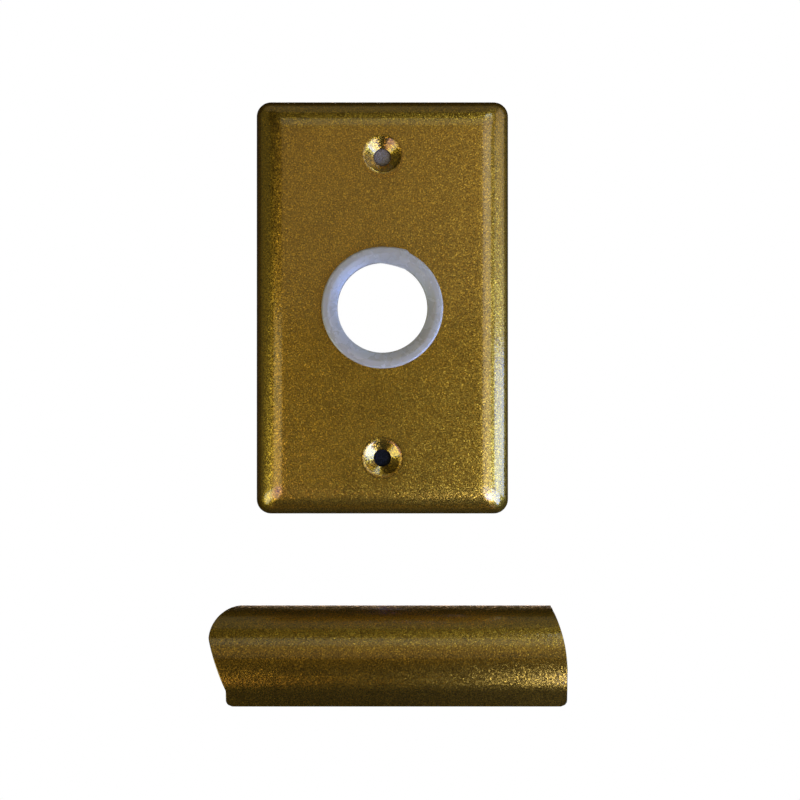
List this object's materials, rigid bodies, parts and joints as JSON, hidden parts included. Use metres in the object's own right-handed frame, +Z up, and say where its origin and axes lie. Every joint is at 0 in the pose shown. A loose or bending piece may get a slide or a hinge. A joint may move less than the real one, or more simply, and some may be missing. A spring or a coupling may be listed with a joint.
{
  "type": "selector key switch",
  "caption": "Wall plate with an open key-cylinder bore, a selector mechanism with snap switches behind it, and a loose curved cover strip.",
  "frame": {"origin": "where the axis of the cylinder bore crosses the wall plane, the plane of the plate's rear rim", "axes": "+Z up; the plate's front faces -Y; +X to the right seen from the front"},
  "size_m": [0.0991, 0.0635, 0.1675],
  "materials": {
    "gold_paint": "metallic flake paint, satin",
    "clear_liner": "translucent, satin",
    "black_rubber": "matt",
    "black_foam": "closed-cell foam",
    "white_nylon": "natural nylon",
    "zinc_steel": "zinc plated",
    "spring_steel": "polished strip",
    "grey_moulding": "glass-filled nylon",
    "acetal": "natural acetal",
    "switch_black": "phenolic moulding",
    "switch_lid": "moulded",
    "button_red": "moulded",
    "silver_brass": "tin-flashed",
    "spring_bronze": "phosphor bronze",
    "wire_black": "PVC",
    "wire_red": "PVC",
    "wire_blue": "PVC"
  },
  "bodies": {
    "switch_unit": {"face_plate": "gold_paint", "bushing": "clear_liner", "sealing_washer": "black_rubber", "bushing_nut": "white_nylon", "foam_gasket": "black_foam", "plate_studs": "zinc_steel", "stud_spacers": "zinc_steel", "stud_washers": "spring_steel", "stud_nuts": "zinc_steel", "rotor_housing": "grey_moulding", "disc_spring": "spring_steel", "housing_cover": "grey_moulding", "cover_screws": "zinc_steel", "switch_screws": "zinc_steel", "cover_clips": "spring_steel", "upper_switch_case": "switch_black", "upper_switch_lid": "switch_lid", "upper_snap_blade": "spring_bronze", "upper_terminals": "silver_brass", "upper_common_lead": "wire_black", "upper_open_lead": "wire_blue", "upper_closed_lead": "wire_red", "upper_cable_tie": "white_nylon", "lower_switch_case": "switch_black", "lower_switch_lid": "switch_lid", "lower_snap_blade": "spring_bronze", "lower_terminals": "silver_brass", "lower_common_lead": "wire_black", "lower_open_lead": "wire_blue", "lower_closed_lead": "wire_red", "lower_cable_tie": "white_nylon"},
    "rotor": {"selector_rotor": "acetal"},
    "upper_actuator": {"upper_push_pin": "white_nylon", "upper_button": "button_red"},
    "lower_actuator": {"lower_push_pin": "white_nylon", "lower_button": "button_red"},
    "cover_strip": {"trim_cover": "gold_paint"}
  },
  "joints": [
    {"name": "rotor_turn", "type": "hinge", "parent": "switch_unit", "child": "rotor", "pos_m": [0, 0.0095, 0], "axis": [0, -1, 0], "range_deg": [-45, 45]},
    {"name": "upper_pin_slide", "type": "slide", "parent": "switch_unit", "child": "upper_actuator", "axis": [0, 0, 1], "range_m": [-0.00063, 0.00063]},
    {"name": "lower_pin_slide", "type": "slide", "parent": "switch_unit", "child": "lower_actuator", "axis": [0, 0, 1], "range_m": [-0.00063, 0.00063]},
    {"name": "strip_pull", "type": "slide", "parent": "switch_unit", "child": "cover_strip", "axis": [0, -1, 0], "range_m": [0, 0.02]}
  ],
  "couplings": [
    {"joint": "upper_pin_slide", "follows": "rotor_turn", "m_per_rad": 0.000779},
    {"joint": "lower_pin_slide", "follows": "rotor_turn", "m_per_rad": 0.000779}
  ]
}
